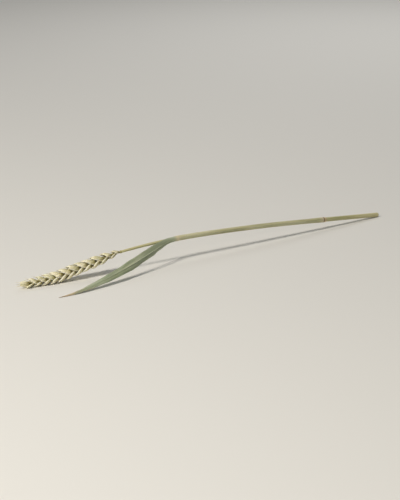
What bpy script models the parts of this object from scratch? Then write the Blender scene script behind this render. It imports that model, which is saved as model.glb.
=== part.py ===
# A wheat ear on its straw, cut from the plant and lying on a table. Metres, +Z up.
# The stalk runs along X: the ear's tip is at -X and the straw's cut end at +X. The table is z = 0.
# Three solids: the ear (rachis and chaff), the straw, and the flag leaf whose sheath wraps the straw.
import math
import random

import bmesh
import bpy
from mathutils import Matrix, Vector

# Lengths along the stalk, from the cut end to the ear's tip.
BUTT_LENGTH = 0.067        # cut end to the knot of the straw
SHEATH_LENGTH = 0.160      # knot to the leaf's collar
NECK_LENGTH = 0.055        # bare straw from the collar to the ear
EAR_LENGTH = 0.095

KNOT_AT = BUTT_LENGTH
COLLAR_AT = KNOT_AT + SHEATH_LENGTH
EAR_AT = COLLAR_AT + NECK_LENGTH
STALK_LENGTH = EAR_AT + EAR_LENGTH

# How the stalk lies: on its cut end, its ear and its leaf, with the middle arched up and bowed to -Y.
SIDE_BOW = -0.006
AXIS_HEIGHTS = (
    (0.0, 0.00188),
    (KNOT_AT, 0.0086),
    (KNOT_AT + 0.5 * SHEATH_LENGTH, 0.0154),
    (COLLAR_AT, 0.0186),
    (EAR_AT, 0.0160),
    (EAR_AT + 0.3 * EAR_LENGTH, 0.0106),
    (EAR_AT + 0.6 * EAR_LENGTH, 0.0053),
    (EAR_AT + 0.8 * EAR_LENGTH, 0.0036),
    (STALK_LENGTH, 0.0040),
)

# The straw.
BUTT_RADIUS = 0.00195
KNOT_RADIUS = 0.0024
KNOT_SWELL = 0.0030        # length over which the straw swells to its knot
KNOT_SHOULDER = 0.0009     # the sheath grows from this far above the knot's middle
NECK_RADIUS = 0.00135      # inside the sheath
EAR_FOOT_RADIUS = 0.00105
BORE_RADIUS = 0.00115      # the straw is hollow below its knot
BORE_DEPTH = 0.055
STRAW_SIDES = 12

# The flag leaf.
CLEARANCE = 0.0003         # between solids that touch on the real stalk
SHEATH_WALL = 0.0005
SHEATH_SWELL = 0.018       # length over which its foot is swollen
SHEATH_FLARE = 0.00015     # how much its mouth opens
SHEATH_FLARE_LENGTH = 0.012
BLADE_THICKNESS = 0.0006
BLADE_COLUMNS = 6
BLADE_STATIONS = 28
BLADE_FOOT_WIDTH = 0.0062
BLADE_WIDTH = 0.0082
BLADE_TIP_WIDTH = 0.0009
BLADE_WIDEST_AT = 0.3      # of its length
BLADE_FOOT = -0.003        # the blade's foot is sunk this deep in the sheath's mouth
BLADE_HUGS_TO = 0.003      # up to here it lies round the straw as the sheath does
BLADE_OPENS_OVER = 0.07    # and over this length its cross curve opens to the radius below
BLADE_OPEN_CURVE = 0.032
# The blade's way from the collar: towards the ear, away from the straw's axis, and height above the table.
BLADE_ROUTE = (
    (0.014, 0.0044, 0.0180),
    (0.034, 0.0118, 0.0150),
    (0.060, 0.0208, 0.0102),
    (0.086, 0.0272, 0.0056),
    (0.109, 0.0312, 0.0022),
    (0.122, 0.0326, 0.0008),
    (0.134, 0.0332, 0.00023),
)
BLADE_FACES_AT_FOOT = math.radians(-4)     # how far above level the blade's outer face looks
BLADE_FACES_AT_TIP = math.radians(84)

# The ear.
SPIKELETS = 22             # one at each step of the rachis, above and below in turn
FIRST_SPIKELET = 0.0022
STEP_LENGTH = 0.00375
RACHIS_WIDTH = 0.0021
RACHIS_DEPTH = 0.0014
RACHIS_TAPER = 0.35
RACHIS_ZIGZAG = 0.0003
ROLL_AT_FOOT = math.radians(15)            # the rows of the ear lean from upright towards +Y
ROLL_AT_TIP = math.radians(-6)
ROW_LEAN = math.radians(21)                # how far a spikelet stands off the rachis
PRESSED = math.radians(5)                  # less of that for the row that the ear lies on
FIRST_SIZE = 0.64          # the lowest spikelets are small
FULL_SIZE_BY = 4           # number of the spikelet that is full-grown
SHRINKS_FROM = 12
LAST_SIZE = 0.72
END_SPREAD = 0.45          # the last spikelet's scales fan out this much as far as the others'
TOP_AWN = 0.0030           # the scales' points are longer by this much at the ear's tip
AWNS_FROM = 10
LENGTH_SHAKE = 0.04        # how much the scales differ from each other
TILT_SHAKE = math.radians(2)
TURN_SHAKE = math.radians(6)
SEED = 7

# The scales of one spikelet. foot is how far up the spikelet one starts, apart how far from its middle,
# fan how far it tilts to its side, stands how far it tilts outward, and turned where its back looks.
GLUMES = {
    "sides": (-1, 1), "foot": 0.0000, "apart": 0.0011, "length": 0.0092, "width": 0.0040, "depth": 0.0034,
    "fan": math.radians(25), "stands": math.radians(1), "turned": math.radians(56), "awn": 0.0009,
}
OUTER_FLORETS = {
    "sides": (-1, 1), "foot": 0.0010, "apart": 0.0007, "length": 0.0106, "width": 0.0042, "depth": 0.0037,
    "fan": math.radians(19), "stands": math.radians(7), "turned": math.radians(30), "awn": 0.0013,
}
MIDDLE_FLORET = {
    "sides": (0,), "foot": 0.0026, "apart": 0.0, "length": 0.0088, "width": 0.0042, "depth": 0.0036,
    "fan": 0.0, "stands": math.radians(9), "turned": 0.0, "awn": 0.0011,
}
SCALE_SIDES = 6
# A scale's rings: where each is along its length, and its size.
SCALE_RINGS = ((0.0, 0.58), (0.40, 1.0), (0.75, 0.70), (0.94, 0.27))
SCALE_BEND = 0.13          # how much of its length the scale's tip bends back to the ear


def clear_scene():
    for obj in list(bpy.data.objects):
        bpy.data.objects.remove(obj)


def smooth_step(t):
    t = min(1.0, max(0.0, t))
    return t * t * (3 - 2 * t)


def through(points, where):
    """A smooth curve through points, each of them a position followed by its values."""
    i = 0
    while i < len(points) - 2 and where > points[i + 1][0]:
        i += 1
    before, start = points[max(i - 1, 0)], points[i]
    end, after = points[i + 1], points[min(i + 2, len(points) - 1)]
    span = end[0] - start[0]
    t = min(1.0, max(0.0, (where - start[0]) / span))
    values = []
    for k in range(1, len(start)):
        slope_in = (end[k] - before[k]) / (end[0] - before[0]) * span
        slope_out = (after[k] - start[k]) / (after[0] - start[0]) * span
        values.append(
            (2 * t**3 - 3 * t**2 + 1) * start[k]
            + (t**3 - 2 * t**2 + t) * slope_in
            + (3 * t**2 - 2 * t**3) * end[k]
            + (t**3 - t**2) * slope_out
        )
    return values


def stalk_point(s):
    """Centre of the stalk, s from the cut end."""
    u = 1 - 2 * s / STALK_LENGTH
    return Vector((u * STALK_LENGTH / 2, SIDE_BOW * (1 - u * u), through(AXIS_HEIGHTS, s)[0]))


def stalk_frame(s):
    """The stalk's direction towards the ear, the way up from it, and the level way to its +Y side."""
    step = 0.001
    low, high = max(0.0, s - step), min(STALK_LENGTH, s + step)
    along = (stalk_point(high) - stalk_point(low)).normalized()
    side = along.cross(Vector((0, 0, 1))).normalized()
    return along, side.cross(along), side


def stalk_ring(s, radius):
    """A ring of points round the stalk. Its first point is straight down."""
    _, up, side = stalk_frame(s)
    turns = [2 * math.pi * k / STRAW_SIDES for k in range(STRAW_SIDES)]
    return [stalk_point(s) + radius * (side * math.sin(a) - up * math.cos(a)) for a in turns]


def add_object(name, bm):
    bmesh.ops.recalc_face_normals(bm, faces=bm.faces)
    mesh = bpy.data.meshes.new(name)
    bm.to_mesh(mesh)
    bm.free()
    obj = bpy.data.objects.new(name, mesh)
    bpy.context.scene.collection.objects.link(obj)
    return obj


def join_rings(bm, low, high):
    """A band of triangles between two rings of corners."""
    count = len(low)
    for k in range(count):
        n = (k + 1) % count
        bm.faces.new((low[k], low[n], high[n]))
        bm.faces.new((low[k], high[n], high[k]))


def loft(name, rings, tip=None):
    """A closed solid over rings that have the same number of points, ending in tip if it is given."""
    bm = bmesh.new()
    rows = [[bm.verts.new(p) for p in ring] for ring in rings]
    for low, high in zip(rows, rows[1:]):
        join_rings(bm, low, high)
    bm.faces.new(rows[0][::-1])
    if tip is None:
        bm.faces.new(rows[-1])
    else:
        point = bm.verts.new(tip)
        for corner, after in zip(rows[-1], rows[-1][1:] + rows[-1][:1]):
            bm.faces.new((corner, after, point))
    return add_object(name, bm)


def tube(name, outer, inner):
    """A tube with a wall and two open ends, from the rings of its outer and inner faces."""
    bm = bmesh.new()
    rows = [[bm.verts.new(p) for p in ring] for ring in outer + inner[::-1]]
    for low, high in zip(rows, rows[1:] + rows[:1]):
        join_rings(bm, low, high)
    return add_object(name, bm)


def set_material(obj, colour, roughness):
    """colour is linear RGB."""
    made = bpy.data.materials.new(obj.name + "_dry")
    made.use_nodes = True
    shader = made.node_tree.nodes["Principled BSDF"]
    shader.inputs["Base Color"].default_value = (*colour, 1)
    shader.inputs["Roughness"].default_value = roughness
    obj.data.materials.clear()
    obj.data.materials.append(made)


def apply_modifiers(obj):
    graph = bpy.context.evaluated_depsgraph_get()
    mesh = bpy.data.meshes.new_from_object(obj.evaluated_get(graph))
    obj.modifiers.clear()
    obj.data = mesh


def keep_outer_skin(obj):
    """Keeps the largest connected skin, which fills hollows sealed by a union and drops loose scraps."""
    bm = bmesh.new()
    bm.from_mesh(obj.data)
    waiting = set(bm.faces)
    skins = []
    while waiting:
        reached = [waiting.pop()]
        skin = list(reached)
        while reached:
            face = reached.pop()
            near = {other for edge in face.edges for other in edge.link_faces} & waiting
            waiting -= near
            reached += near
            skin += near
        skins.append(skin)
    skins.sort(key=len)
    bmesh.ops.delete(bm, geom=[face for skin in skins[:-1] for face in skin], context="FACES")
    bm.to_mesh(obj.data)
    bm.free()


def fuse(base, pieces):
    """Joins pieces to base in one solid, and removes them."""
    group = bpy.data.collections.new(base.name + "_pieces")
    bpy.context.scene.collection.children.link(group)
    for piece in pieces:
        bpy.context.scene.collection.objects.unlink(piece)
        group.objects.link(piece)
    union = base.modifiers.new("Join", "BOOLEAN")
    union.operation = "UNION"
    union.solver = "MANIFOLD"
    union.operand_type = "COLLECTION"
    union.collection = group
    bpy.context.view_layer.update()
    apply_modifiers(base)
    for piece in pieces:
        bpy.data.objects.remove(piece)
    bpy.data.collections.remove(group)
    keep_outer_skin(base)


def trim_at_table(obj):
    """Cuts off what would sink into the table, which leaves small flats where the object lies on it."""
    depth = 0.01
    bpy.ops.mesh.primitive_cube_add(size=1, location=(0, 0, -depth / 2))
    table = bpy.context.object
    table.scale = (2 * STALK_LENGTH, STALK_LENGTH, depth)
    bpy.context.view_layer.update()
    cut = obj.modifiers.new("Table", "BOOLEAN")
    cut.operation = "DIFFERENCE"
    cut.solver = "MANIFOLD"
    cut.object = table
    bpy.context.view_layer.update()
    apply_modifiers(obj)
    bpy.data.objects.remove(table)


def straw_radius(s):
    """Outer radius of the straw: even below its knot, slimmer above, and slimmest at the ear."""
    if s <= KNOT_AT:
        swell = 1 - smooth_step((KNOT_AT - s) / KNOT_SWELL)
        return BUTT_RADIUS + (KNOT_RADIUS - BUTT_RADIUS) * swell
    return NECK_RADIUS + (EAR_FOOT_RADIUS - NECK_RADIUS) * smooth_step((s - COLLAR_AT) / NECK_LENGTH)


def make_straw():
    """The straw from the ear's foot to its cut end, where its wall turns in to the bore."""
    top, shoulder, swell_foot = EAR_AT - CLEARANCE, KNOT_AT + KNOT_SHOULDER, KNOT_AT - KNOT_SWELL
    upper_steps, swell_steps, butt_steps, bore_steps = 20, 4, 6, 6
    stations = [top - (top - shoulder) * k / upper_steps for k in range(upper_steps + 1)]
    rings = [stalk_ring(s, straw_radius(s)) for s in stations]
    rings.append(stalk_ring(shoulder, KNOT_RADIUS))
    stations = [KNOT_AT - KNOT_SWELL * k / swell_steps for k in range(swell_steps + 1)]
    stations += [swell_foot * (1 - k / butt_steps) for k in range(1, butt_steps + 1)]
    rings += [stalk_ring(s, straw_radius(s)) for s in stations]
    rings += [stalk_ring(BORE_DEPTH * k / bore_steps, BORE_RADIUS) for k in range(bore_steps + 1)]
    return loft("straw", rings)


def sheath_radius(s):
    """Outer radius of the sheath, which swells at its foot over the knot, and flares at its mouth."""
    from_foot = s - KNOT_AT
    slim = NECK_RADIUS + CLEARANCE + SHEATH_WALL
    foot = (KNOT_RADIUS - slim) * (1 - smooth_step(from_foot / SHEATH_SWELL))
    mouth = SHEATH_FLARE * smooth_step((s - COLLAR_AT) / SHEATH_FLARE_LENGTH + 1)
    return slim + foot + mouth


def make_sheath():
    """A tube round the straw, from the knot to the collar."""
    foot = KNOT_AT + KNOT_SHOULDER + CLEARANCE
    steps = 18
    stations = [foot + (COLLAR_AT - foot) * k / steps for k in range(steps + 1)]
    outer = [stalk_ring(s, sheath_radius(s)) for s in stations]
    inner = [stalk_ring(s, NECK_RADIUS + CLEARANCE) for s in stations]
    return tube("flag_leaf", outer, inner)


def blade_width(t):
    """Width of the blade, t of the way to its tip: it widens, then has a long taper."""
    spread = BLADE_FOOT_WIDTH + (BLADE_WIDTH - BLADE_FOOT_WIDTH) * smooth_step(t / BLADE_WIDEST_AT)
    taper = 1 - max(0.0, (t - BLADE_WIDEST_AT) / (1 - BLADE_WIDEST_AT)) ** 2
    return BLADE_TIP_WIDTH + (spread - BLADE_TIP_WIDTH) * taper


def blade_point(a):
    """The blade's centreline, a from the collar along the straw."""
    collar, (along, _, side) = stalk_point(COLLAR_AT), stalk_frame(COLLAR_AT)
    hug = sheath_radius(COLLAR_AT) - BLADE_THICKNESS / 2
    off = hug * math.cos(BLADE_FACES_AT_FOOT)
    high = collar.z + hug * math.sin(BLADE_FACES_AT_FOOT)
    straight = [(b, off, high + b * along.z) for b in (BLADE_FOOT, 0.0, BLADE_HUGS_TO)]
    away, height = through(straight + list(BLADE_ROUTE), a)
    level = collar + along * a - side * away
    return Vector((level.x, level.y, height))


def blade_section(a, t):
    """The blade's two faces across it: two arcs, round the straw at its foot and nearly flat further on."""
    step = 0.001
    tip = BLADE_ROUTE[-1][0]
    ahead = (blade_point(min(a + step, tip)) - blade_point(max(a - step, BLADE_FOOT))).normalized()
    outward = Vector((0, 0, 1)).cross(ahead).normalized()
    faces_at = BLADE_FACES_AT_FOOT + (BLADE_FACES_AT_TIP - BLADE_FACES_AT_FOOT) * smooth_step(t)
    face = outward * math.cos(faces_at) + ahead.cross(outward) * math.sin(faces_at)
    across = face.cross(ahead).normalized()
    hug = sheath_radius(COLLAR_AT) - BLADE_THICKNESS / 2
    curve = hug + (BLADE_OPEN_CURVE - hug) * smooth_step((a - BLADE_HUGS_TO) / BLADE_OPENS_OVER)
    axis = blade_point(a) - face * curve
    turns = [(k / BLADE_COLUMNS - 0.5) * blade_width(t) / curve for k in range(BLADE_COLUMNS + 1)]
    ways = [face * math.cos(q) + across * math.sin(q) for q in turns]
    outer = [axis + way * (curve + BLADE_THICKNESS / 2) for way in ways]
    inner = [axis + way * (curve - BLADE_THICKNESS / 2) for way in ways]
    return outer, inner


def make_blade():
    """The blade: hugs the straw at its foot, opens and widens, and falls away to the table."""
    length = BLADE_ROUTE[-1][0] - BLADE_FOOT
    bm = bmesh.new()
    sections = []
    for j in range(BLADE_STATIONS):
        t = j / (BLADE_STATIONS - 1)
        faces = blade_section(BLADE_FOOT + length * t, t)
        sections.append([[bm.verts.new(p) for p in face] for face in faces])
    for (outer, inner), (next_outer, next_inner) in zip(sections, sections[1:]):
        join_rings(bm, outer + inner[::-1], next_outer + next_inner[::-1])
    for outer, inner in (sections[0], sections[-1]):
        for k in range(BLADE_COLUMNS):
            bm.faces.new((outer[k], outer[k + 1], inner[k + 1], inner[k]))
    return add_object("blade", bm)


def ear_frame(a):
    """Centre of the ear a from its foot, the way to its tip, the way of its upper row, and across."""
    s = EAR_AT + a
    along, up, side = stalk_frame(s)
    roll = ROLL_AT_FOOT + (ROLL_AT_TIP - ROLL_AT_FOOT) * a / EAR_LENGTH
    row = up * math.cos(roll) + side * math.sin(roll)
    return stalk_point(s), along, row, along.cross(row)


def spikelet_size(i):
    """Size of spikelet i: small at the ear's foot, full in the middle, and smaller again at the tip."""
    grown = FIRST_SIZE + (1 - FIRST_SIZE) * smooth_step(i / FULL_SIZE_BY)
    return grown * (1 - (1 - LAST_SIZE) * smooth_step((i - SHRINKS_FROM) / (SPIKELETS - SHRINKS_FROM)))


def make_scale(form, side, foot, along, row, across, size, awn, spread, shake):
    """A pointed boat with a round back. foot is where it grows, and row the way its spikelet stands."""
    fan = side * (form["fan"] * spread + shake.uniform(-TILT_SHAKE, TILT_SHAKE))
    lean = form["stands"] + shake.uniform(-TILT_SHAKE, TILT_SHAKE)
    turned = side * (form["turned"] + shake.uniform(-TURN_SHAKE, TURN_SHAKE))
    ahead = along * math.cos(lean) + row * math.sin(lean)
    ahead = (ahead * math.cos(fan) + across * math.sin(fan)).normalized()
    back = row * math.cos(turned) + across * math.sin(turned)
    back = (back - ahead * back.dot(ahead)).normalized()
    wide = ahead.cross(back)
    length = form["length"] * size * (1 + shake.uniform(-LENGTH_SHAKE, LENGTH_SHAKE))
    start = foot + along * form["foot"] * size + across * side * form["apart"] * size

    def middle(v):
        return start + ahead * length * v - back * SCALE_BEND * length * v * v

    rings = []
    for v, girth in SCALE_RINGS:
        half_width = form["width"] * size * girth / 2
        half_depth = form["depth"] * size * girth / 2
        turns = [2 * math.pi * (k + 0.5) / SCALE_SIDES for k in range(SCALE_SIDES)]
        rings.append(
            [middle(v) + wide * half_width * math.sin(q) + back * half_depth * math.cos(q) for q in turns]
        )
    return loft("scale", rings, middle(1.0) + ahead * (awn + form["awn"] * size))


def make_scales(forms, foot, along, row, across, size, awn, spread, shake):
    """The scales of one face of a spikelet."""
    return [
        make_scale(form, side, foot, along, row, across, size, awn, spread, shake)
        for form in forms
        for side in form["sides"]
    ]


def make_rachis():
    """The ear's flat zigzag axis."""
    rings = []
    for i in range(-1, SPIKELETS + 1):
        a = max(0.0, FIRST_SPIKELET + i * STEP_LENGTH)
        centre, _, row, across = ear_frame(a)
        swing = 0 if i < 0 else RACHIS_ZIGZAG * (1 if i % 2 == 0 else -1)
        shrink = 1 - RACHIS_TAPER * a / EAR_LENGTH
        x, y = across * RACHIS_WIDTH / 2 * shrink, row * RACHIS_DEPTH / 2 * shrink
        corners = (-x / 2 - y, x / 2 - y, x, x / 2 + y, -x / 2 + y, -x)
        rings.append([centre + row * swing + corner for corner in corners])
    return loft("ear", rings)


def make_ear():
    """The rachis with its spikelets. The last is on its end, turned a quarter, with florets on both faces."""
    shake = random.Random(SEED)
    rachis = make_rachis()
    scales = []
    all_forms = (GLUMES, OUTER_FLORETS, MIDDLE_FLORET)
    for i in range(SPIKELETS + 1):
        centre, along, row, across = ear_frame(FIRST_SPIKELET + i * STEP_LENGTH)
        size = spikelet_size(i)
        awn = TOP_AWN * smooth_step((i - AWNS_FROM) / (SPIKELETS - AWNS_FROM))
        spread = END_SPREAD if i == SPIKELETS else 1.0
        if i == SPIKELETS:
            row, across = across, -row
            lean = 0.0
        else:
            flip = 1 if i % 2 == 0 else -1
            row, across = row * flip, across * flip
            lean = ROW_LEAN - (PRESSED if flip < 0 else 0) + shake.uniform(-TILT_SHAKE, TILT_SHAKE)
        out = along * math.cos(lean) + row * math.sin(lean)
        row = (row * math.cos(lean) - along * math.sin(lean)).normalized()
        scales += make_scales(all_forms, centre, out, row, across, size, awn, spread, shake)
    scales += make_scales(all_forms[1:], centre, out, -row, -across, size, awn, spread, shake)
    fuse(rachis, scales)
    return rachis


def centre_on_origin(objects):
    """Puts the middle of the objects' box over the origin, with the table at z = 0."""
    corners = [v.co for obj in objects for v in obj.data.vertices]
    middle_x = (min(p.x for p in corners) + max(p.x for p in corners)) / 2
    middle_y = (min(p.y for p in corners) + max(p.y for p in corners)) / 2
    for obj in objects:
        obj.data.transform(Matrix.Translation((-middle_x, -middle_y, 0)))


clear_scene()
ear = make_ear()
straw = make_straw()
flag_leaf = make_sheath()
fuse(flag_leaf, [make_blade()])
for lying in (ear, straw, flag_leaf):
    trim_at_table(lying)
centre_on_origin([ear, straw, flag_leaf])
set_material(ear, (0.62, 0.55, 0.36), 0.75)
set_material(straw, (0.47, 0.44, 0.23), 0.5)
set_material(flag_leaf, (0.29, 0.33, 0.20), 0.6)
for round_piece in (straw, flag_leaf):
    round_piece.data.shade_smooth()
    round_piece.data.set_sharp_from_angle(angle=math.radians(40))
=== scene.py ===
# A dried ear of wheat on its straw, with its flag leaf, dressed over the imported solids.
# Metres, +Z up. The ear's tip is at -X, the straw's cut end at +X, and the leaf falls to -Y.
import math
import random
from functools import partial

import bpy
import numpy as np
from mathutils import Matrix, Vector


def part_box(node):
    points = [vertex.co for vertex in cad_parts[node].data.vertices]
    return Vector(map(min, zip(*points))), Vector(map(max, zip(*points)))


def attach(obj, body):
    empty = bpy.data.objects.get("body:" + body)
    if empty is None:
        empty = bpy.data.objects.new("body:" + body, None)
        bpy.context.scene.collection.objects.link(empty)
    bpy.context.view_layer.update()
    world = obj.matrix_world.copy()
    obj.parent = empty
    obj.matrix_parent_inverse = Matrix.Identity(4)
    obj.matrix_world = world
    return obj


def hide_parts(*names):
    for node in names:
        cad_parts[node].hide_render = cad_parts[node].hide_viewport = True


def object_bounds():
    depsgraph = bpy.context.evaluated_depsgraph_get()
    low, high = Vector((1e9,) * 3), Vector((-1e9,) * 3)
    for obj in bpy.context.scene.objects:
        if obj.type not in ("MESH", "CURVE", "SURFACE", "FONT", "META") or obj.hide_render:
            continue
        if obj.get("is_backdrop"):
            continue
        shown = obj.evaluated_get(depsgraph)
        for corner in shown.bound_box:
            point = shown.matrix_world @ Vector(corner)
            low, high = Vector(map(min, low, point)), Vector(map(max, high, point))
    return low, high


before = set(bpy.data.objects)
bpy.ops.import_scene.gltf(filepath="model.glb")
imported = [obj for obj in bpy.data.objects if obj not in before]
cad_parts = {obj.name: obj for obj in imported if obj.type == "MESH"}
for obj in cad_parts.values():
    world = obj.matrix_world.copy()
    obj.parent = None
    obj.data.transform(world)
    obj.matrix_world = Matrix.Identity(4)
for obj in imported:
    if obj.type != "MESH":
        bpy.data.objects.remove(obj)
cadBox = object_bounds()

# How the stalk grows and lies. Places along it are distances from the cut end, as in the solids.
stalk = {
    "knotAt": 0.067,
    "collarAt": 0.227,
    "earAt": 0.282,
    "length": 0.377,
    "sideBow": -0.006,
    "heights": (
        (0.0, 0.00188), (0.067, 0.0086), (0.147, 0.0154), (0.227, 0.0186), (0.282, 0.0160),
        (0.3105, 0.0106), (0.339, 0.0053), (0.358, 0.0036), (0.377, 0.0040),
    ),
    "pressedOver": 0.00012,   # how softly a piece is pressed up from the table
}


def smoothStep(t):
    t = np.clip(t, 0.0, 1.0)
    return t * t * (3 - 2 * t)


def bell(t):
    return np.exp(-np.square(t))


def unit(v):
    return v / np.linalg.norm(v, axis=-1, keepdims=True)


def ringAngles(count):
    return np.arange(count) / count * 2 * np.pi


def through(points, where):
    # A smooth curve through points: cubics whose slope at a point is that between its neighbours.
    table = np.array(points, float)
    x, y = table[:, 0], table[:, 1:]
    slopes = np.empty_like(y)
    slopes[1:-1] = (y[2:] - y[:-2]) / (x[2:] - x[:-2])[:, None]
    slopes[0], slopes[-1] = (y[1] - y[0]) / (x[1] - x[0]), (y[-1] - y[-2]) / (x[-1] - x[-2])
    i = np.clip(np.searchsorted(x, where) - 1, 0, len(x) - 2)
    span = (x[i + 1] - x[i])[:, None]
    t = np.clip((where - x[i]) / span[:, 0], 0, 1)[:, None]
    fromStart = (2 * t**3 - 3 * t**2 + 1) * y[i] + (t**3 - 2 * t**2 + t) * slopes[i] * span
    return fromStart + (3 * t**2 - 2 * t**3) * y[i + 1] + (t**3 - t**2) * slopes[i + 1] * span


def stalkLine(s):
    # A line along X that bows sideways as a parabola, at the heights above.
    u = 1 - 2 * s / stalk["length"]
    height = through(stalk["heights"], s)[:, 0]
    return np.stack([u * stalk["length"] / 2, stalk["sideBow"] * (1 - u * u), height], 1)


def stalkFrame(s):
    # A place on the line, the direction to the ear there, the way up, and the level way to +Y.
    step = 0.001
    along = unit(stalkLine(np.minimum(s + step, stalk["length"])) - stalkLine(np.maximum(s - step, 0)))
    side = unit(np.cross(along, (0.0, 0.0, 1.0)))
    return stalkLine(s) + moved, along, np.cross(side, along), side


def around(s, radius, angle):
    # Points a radius off the stalk's line, s from its cut end. Angle 0 is straight down, a quarter is to +Y.
    s, radius, angle = (np.array(value) for value in np.broadcast_arrays(s, radius, angle))
    centre, _, up, side = stalkFrame(s.ravel())
    way = side * np.sin(angle).reshape(-1, 1) - up * np.cos(angle).reshape(-1, 1)
    return (centre + way * radius.reshape(-1, 1)).reshape(s.shape + (3,))


# The straw. Heights at the knot are from its middle, and towards the ear.
straw = {
    "radius": 0.00195, "knotRadius": 0.0024, "neckRadius": 0.00135, "earFootRadius": 0.00105,
    "knotSwell": 0.0030, "knotShoulder": 0.0009,
    "groove": 0.00014, "grooveAt": 0.0003, "grooveHalf": 0.0004,    # where the leaf was joined to it
    "bulge": 0.00006, "bulgeAt": -0.0022, "bulgeHalf": 0.0009,
    "boreRadius": 0.00128, "boreDepth": 0.050,
    "ribs": 18, "ribDepth": 0.000022, "ribsFadeOver": 0.008,
    "oval": 0.03, "ovalOver": 0.03, "ovalTurn": 1.2,    # how much the cut end is pressed out of round
    "cutSlant": 0.00022, "slantTurn": 0.7, "cutRagged": 0.000025, "splinter": 0.00012, "splinters": 5,
    "cutReach": 0.0012,        # how far from the end the rings still follow the cut
    "outerEdge": 0.00005, "innerEdge": 0.00004, "edgeAt": 0.00006,   # how the cut's edges are broken
    "underEar": 0.0004,        # how far it runs in under the ear
    "fineAbove": 0.003, "fineBelow": 0.005,     # round the knot the rings stand closer
    "lastRing": 0.0004, "boreRing": 0.0006,     # the rings nearest to the cut, on the skin and in the bore
    "rows": 170, "knotRows": 90, "buttRows": 90, "boreRows": 24, "around": 72, "seed": 5,
}


def strawRadius(s):
    # Even below the knot, swollen to it, slimmer above it, and slimmest at the ear.
    swell = 1 - smoothStep((stalk["knotAt"] - s) / straw["knotSwell"])
    below = straw["radius"] + (straw["knotRadius"] - straw["radius"]) * swell
    taper = smoothStep((s - stalk["collarAt"]) / (stalk["earAt"] - stalk["collarAt"]))
    above = straw["neckRadius"] + (straw["earFootRadius"] - straw["neckRadius"]) * taper
    return np.where(s <= stalk["knotAt"], below, above)


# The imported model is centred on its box. The straw's outline, made here, gives how far it was moved.
moved = np.zeros(3)
strawPlaces = np.linspace(0.0, stalk["earAt"], 400)[:, None]
outline = around(strawPlaces, strawRadius(strawPlaces), np.linspace(0, 2 * np.pi, 25)[None]).reshape(-1, 3)
low, high = (np.array(corner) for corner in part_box("straw"))
moved = (low + high) / 2 - (outline.min(0) + outline.max(0)) / 2
moved[2] = 0.0
print("solids loaded, moved by", (moved * 1000).round(2), "mm")


def loftFaces(rows, cols, ends, copies=1):
    # Quads between neighbouring rings. At both ends a fan to a pole, or a strip that closes a folded wall.
    j, k = (grid.ravel() for grid in np.meshgrid(np.arange(rows - 1), np.arange(cols), indexing="ij"))
    after = (k + 1) % cols
    quads = np.stack([j * cols + k, j * cols + after, (j + 1) * cols + after, (j + 1) * cols + k], 1)
    last = (rows - 1) * cols
    points = rows * cols
    if ends == "fan":
        ring = np.arange(cols)
        turn = (ring + 1) % cols
        foot, tip = np.full(cols, points), np.full(cols, points + 1)
        tris = np.concatenate([np.stack([turn, ring, foot], 1), np.stack([last + ring, last + turn, tip], 1)])
        points += 2
    else:
        half = np.arange(cols // 2 - 1)
        strip = np.stack([half + 1, half, cols - 1 - half, cols - 2 - half], 1)
        quads = np.concatenate([quads, strip, last + strip[:, ::-1]])
        tris = np.empty((0, 3), int)
    offsets = np.arange(copies)[:, None, None] * points
    return (quads[None] + offsets).reshape(-1, 4), (tris[None] + offsets).reshape(-1, 3)


def addSurface(name, points, faces, values, material):
    # Puts points and faces into a mesh, with its faces turned outward. What would sink into the table is
    # pressed up softly: each height becomes the mean of itself and its hypotenuse with pressedOver.
    points = points.reshape(-1, 3).copy()
    points[:, 2] = (points[:, 2] + np.hypot(points[:, 2], stalk["pressedOver"])) / 2
    quads, tris = faces
    halves = np.concatenate([quads[:, [0, 1, 2]], quads[:, [0, 2, 3]], tris])
    a, b, c = (points[halves[:, i]] for i in range(3))
    if np.einsum("ij,ij->", a, np.cross(b, c)) < 0:
        quads, tris = quads[:, ::-1], tris[:, ::-1]
    mesh = bpy.data.meshes.new(name)
    mesh.from_pydata(points.tolist(), [], quads.tolist() + tris.tolist())
    for key, data in values.items():
        data = np.asarray(data, np.float32)
        if data.ndim == 1:
            mesh.attributes.new(key, "FLOAT", "POINT").data.foreach_set("value", data)
        else:
            mesh.attributes.new(key, "FLOAT_VECTOR", "POINT").data.foreach_set("vector", data.ravel())
    mesh.shade_smooth()
    mesh.materials.append(material)
    piece = bpy.data.objects.new(name, mesh)
    bpy.context.scene.collection.objects.link(piece)
    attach(piece, "root")
    print(name, len(halves), "triangles")
    return piece


def linear(hexColour):
    # sRGB hex to linear RGBA.
    values = [int(hexColour[i:i + 2], 16) / 255 for i in (1, 3, 5)]
    return tuple(v / 12.92 if v <= 0.04045 else ((v + 0.055) / 1.055) ** 2.4 for v in values) + (1.0,)


def addNode(tree, kind, settings, inputs, out=0):
    # Adds a shader node with its settings, and sets or links its inputs. It gives the output asked for.
    made = tree.nodes.new("ShaderNode" + kind)
    for key, value in settings.items():
        if key == "stops":
            elements = made.color_ramp.elements
            for i, (place, colour) in enumerate(value):
                element = elements[i] if i < len(elements) else elements.new(place)
                element.position, element.color = place, linear(colour)
        else:
            setattr(made, key, value)
    for key, value in inputs.items():
        if isinstance(value, bpy.types.NodeSocket):
            tree.links.new(value, made.inputs[key])
        else:
            made.inputs[key].default_value = value
    return made.outputs[out]


def startMaterial(name, uniform):
    # A new material whose shader has those uniform values, and the function that adds nodes to it.
    made = bpy.data.materials.new(name)
    made.use_nodes = True
    shader = made.node_tree.nodes["Principled BSDF"]
    for key, value in uniform.items():
        shader.inputs[key].default_value = value
    return made, partial(addNode, made.node_tree)


def meshValues(add, *keys):
    # The values that the mesh holds at its points. That of the fibres is a place, the others are numbers.
    for key in keys:
        yield add("Attribute", {"attribute_name": key}, {}, "Vector" if key == "fibre" else "Fac")


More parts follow.
